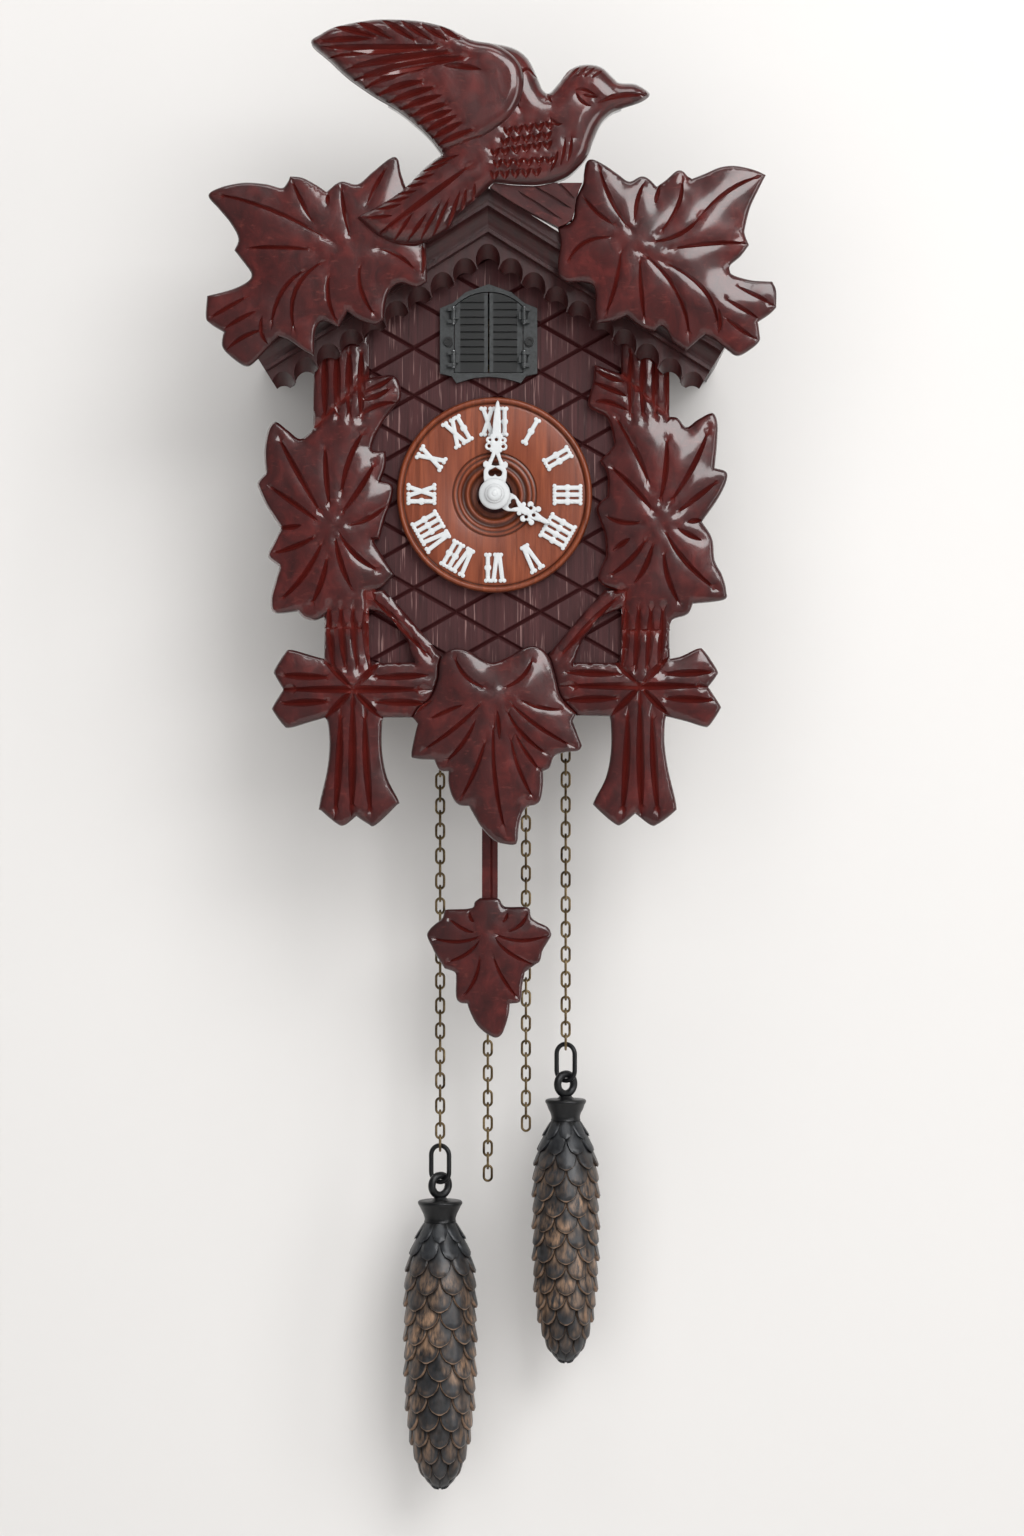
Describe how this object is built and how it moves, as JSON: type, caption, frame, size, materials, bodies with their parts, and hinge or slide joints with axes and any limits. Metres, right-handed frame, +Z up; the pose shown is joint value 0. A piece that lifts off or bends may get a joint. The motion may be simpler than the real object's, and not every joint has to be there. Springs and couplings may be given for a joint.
{
  "type": "pendulum clock",
  "caption": "Wall clock shaped like a small carved house: leaf frames, bird on the gable, shutters over the dial, leaf pendulum and cone weights on chains",
  "frame": {"origin": "Middle of the hole in the hanging plate, in the plane of the wall behind the case", "axes": "+Z up, front faces -Y, +X to the viewer's right, wall plane at Y = 0"},
  "size_m": [0.2196, 0.1238, 0.5783],
  "materials": {
    "case_wood": "stained, satin",
    "panel_wood": "stained brown-red, matt, with scored lozenges",
    "roof_wood": "stained oxblood and lacquered",
    "carved_wood": "carved, stained oxblood and lacquered",
    "dial_wood": "turned, satin",
    "white_plastic": "moulded, smooth",
    "grey_plastic": "moulded, satin",
    "cuckoo_paint": "painted",
    "brass_plate": "stamped",
    "wheel_brass": "cut and polished",
    "steel": "zinc plated",
    "block_iron": "painted grey",
    "bellows_paper": "pale wood and folded paper",
    "chain_brass": "aged",
    "weight_iron": "cast, black with bronzed edges"
  },
  "bodies": {
    "case": {"back_board": "case_wood", "hanger_plate": "steel", "screws": "steel", "case_side_left": "case_wood", "case_side_right": "case_wood", "case_bottom": "case_wood", "front_panel": "panel_wood", "roof_board_left": "roof_wood", "roof_board_right": "roof_wood", "roof_moulding": "roof_wood", "scalloped_strip": "roof_wood", "carved_frame_left": "carved_wood", "carved_frame_right": "carved_wood", "lower_leaf": "carved_wood", "roof_leaf_left": "carved_wood", "roof_leaf_right": "carved_wood", "ridge_branch": "carved_wood", "carved_bird": "carved_wood", "door_surround": "grey_plastic", "shutter_pins": "steel", "dial": "dial_wood", "numerals": "white_plastic", "front_plate": "brass_plate", "back_plate": "brass_plate", "pillars": "brass_plate", "gong": "steel", "gong_block": "block_iron", "bellows": "bellows_paper", "cuckoo_guide": "brass_plate"},
    "minute": {"centre_arbor": "wheel_brass", "minute_hand": "white_plastic", "hand_cap": "white_plastic"},
    "hour": {"hour_wheel": "wheel_brass", "hour_hand": "white_plastic"},
    "minute_wheel": {"minute_wheel": "wheel_brass"},
    "going_great": {"going_great_wheel": "wheel_brass"},
    "third": {"third_wheel": "wheel_brass"},
    "escape": {"escape_wheel": "wheel_brass"},
    "anchor": {"anchor": "steel"},
    "pendulum": {"pendulum_leader": "brass_plate", "pendulum_rod": "carved_wood", "pendulum_leaf": "carved_wood", "leaf_clip": "brass_plate"},
    "strike_great": {"strike_great_wheel": "wheel_brass"},
    "pin_wheel": {"pin_wheel": "wheel_brass"},
    "fly": {"fly": "wheel_brass"},
    "hammer": {"hammer": "steel"},
    "left_lid": {"bellows_lid_left": "bellows_paper"},
    "right_lid": {"bellows_lid_right": "bellows_paper"},
    "cuckoo": {"cuckoo": "cuckoo_paint"},
    "left_shutter": {"shutter_left": "grey_plastic"},
    "right_shutter": {"shutter_right": "grey_plastic"},
    "going_sprocket": {"going_sprocket": "chain_brass"},
    "strike_sprocket": {"strike_sprocket": "chain_brass"},
    "going_free": {"going_chain_free": "chain_brass"},
    "strike_free": {"strike_chain_free": "chain_brass"},
    "left_weight": {"going_chain_weight": "chain_brass", "weight_left": "weight_iron"},
    "right_weight": {"strike_chain_weight": "chain_brass", "weight_right": "weight_iron"}
  },
  "joints": [
    {"name": "minute_turn", "type": "hinge", "parent": "case", "child": "minute", "pos_m": [0, -0.092, -0.082], "axis": [0, 1, 0], "continuous": true},
    {"name": "hour_turn", "type": "hinge", "parent": "case", "child": "hour", "pos_m": [0, -0.09, -0.082], "axis": [0, 1, 0], "continuous": true},
    {"name": "minute_wheel_turn", "type": "hinge", "parent": "case", "child": "minute_wheel", "pos_m": [0.01039, -0.051, -0.088], "axis": [0, 1, 0], "continuous": true},
    {"name": "going_great_turn", "type": "hinge", "parent": "case", "child": "going_great", "pos_m": [-0.0126, -0.023, -0.10382], "axis": [0, 1, 0], "continuous": true},
    {"name": "third_turn", "type": "hinge", "parent": "case", "child": "third", "pos_m": [-0.01556, -0.027, -0.06644], "axis": [0, 1, 0], "continuous": true},
    {"name": "escape_turn", "type": "hinge", "parent": "case", "child": "escape", "pos_m": [-0.002, -0.037, -0.04912], "axis": [0, 1, 0], "continuous": true},
    {"name": "pendulum_swing", "type": "hinge", "parent": "case", "child": "pendulum", "pos_m": [-0.002, -0.056, -0.036], "axis": [0, 1, 0], "range_deg": [-4, 4]},
    {"name": "anchor_rock", "type": "hinge", "parent": "case", "child": "anchor", "pos_m": [-0.002, -0.037, -0.036], "axis": [0, 1, 0], "range_deg": [-4, 4]},
    {"name": "strike_great_turn", "type": "hinge", "parent": "case", "child": "strike_great", "pos_m": [0.0205, -0.041, -0.10382], "axis": [0, 1, 0], "continuous": true},
    {"name": "pin_wheel_turn", "type": "hinge", "parent": "case", "child": "pin_wheel", "pos_m": [0.02606, -0.029, -0.08306], "axis": [0, 1, 0], "continuous": true},
    {"name": "fly_turn", "type": "hinge", "parent": "case", "child": "fly", "pos_m": [0.02059, -0.037, -0.06802], "axis": [0, 1, 0], "continuous": true},
    {"name": "hammer_swing", "type": "hinge", "parent": "case", "child": "hammer", "pos_m": [0.0405, -0.013, -0.094], "axis": [0, 1, 0], "range_deg": [0, 15]},
    {"name": "left_lid_lift", "type": "hinge", "parent": "case", "child": "left_lid", "pos_m": [-0.0495, -0.024, -0.074], "axis": [-1, 0, 0], "range_deg": [0, 12]},
    {"name": "right_lid_lift", "type": "hinge", "parent": "case", "child": "right_lid", "pos_m": [0.0495, -0.024, -0.074], "axis": [-1, 0, 0], "range_deg": [0, 12]},
    {"name": "cuckoo_slide", "type": "slide", "parent": "case", "child": "cuckoo", "axis": [0, -1, 0], "range_m": [0, 0.022]},
    {"name": "left_shutter_open", "type": "hinge", "parent": "case", "child": "left_shutter", "pos_m": [-0.0161, -0.0884, -0.022], "axis": [0, 0, -1], "range_deg": [0, 94.5]},
    {"name": "right_shutter_open", "type": "hinge", "parent": "case", "child": "right_shutter", "pos_m": [0.0115, -0.0884, -0.022], "axis": [0, 0, 1], "range_deg": [0, 94.5]},
    {"name": "left_weight_slide", "type": "slide", "parent": "case", "child": "left_weight", "axis": [0, 0, 1], "range_m": [-0.014, 0.014]},
    {"name": "going_sprocket_turn", "type": "hinge", "parent": "case", "child": "going_sprocket", "pos_m": [-0.0126, -0.034, -0.10382], "axis": [0, 1, 0], "range_deg": [-83.27, 83.27]},
    {"name": "going_free_slide", "type": "slide", "parent": "case", "child": "going_free", "axis": [0, 0, 1], "range_m": [-0.014, 0.014]},
    {"name": "right_weight_slide", "type": "slide", "parent": "case", "child": "right_weight", "axis": [0, 0, 1], "range_m": [-0.014, 0.003]},
    {"name": "strike_sprocket_turn", "type": "hinge", "parent": "case", "child": "strike_sprocket", "pos_m": [0.0205, -0.034, -0.10382], "axis": [0, 1, 0], "range_deg": [-21.49, 99.9]},
    {"name": "strike_free_slide", "type": "slide", "parent": "case", "child": "strike_free", "axis": [0, 0, 1], "range_m": [-0.003, 0.014]}
  ],
  "couplings": [
    {"joint": "hour_turn", "follows": "minute_turn", "ratio": 0.083333},
    {"joint": "minute_wheel_turn", "follows": "minute_turn", "ratio": -0.33333},
    {"joint": "going_great_turn", "follows": "minute_turn", "ratio": -0.16667},
    {"joint": "third_turn", "follows": "minute_turn", "ratio": -10},
    {"joint": "escape_turn", "follows": "minute_turn", "ratio": 100},
    {"joint": "anchor_rock", "follows": "pendulum_swing", "ratio": 1},
    {"joint": "pin_wheel_turn", "follows": "strike_great_turn", "ratio": -9.75},
    {"joint": "fly_turn", "follows": "strike_great_turn", "ratio": 68.25},
    {"joint": "left_shutter_open", "follows": "cuckoo_slide", "rad_per_m": 74.9},
    {"joint": "right_shutter_open", "follows": "cuckoo_slide", "rad_per_m": 74.9},
    {"joint": "going_sprocket_turn", "follows": "left_weight_slide", "rad_per_m": 103.68},
    {"joint": "going_free_slide", "follows": "left_weight_slide", "ratio": -1},
    {"joint": "strike_sprocket_turn", "follows": "right_weight_slide", "rad_per_m": -124.42},
    {"joint": "strike_free_slide", "follows": "right_weight_slide", "ratio": -1}
  ]
}
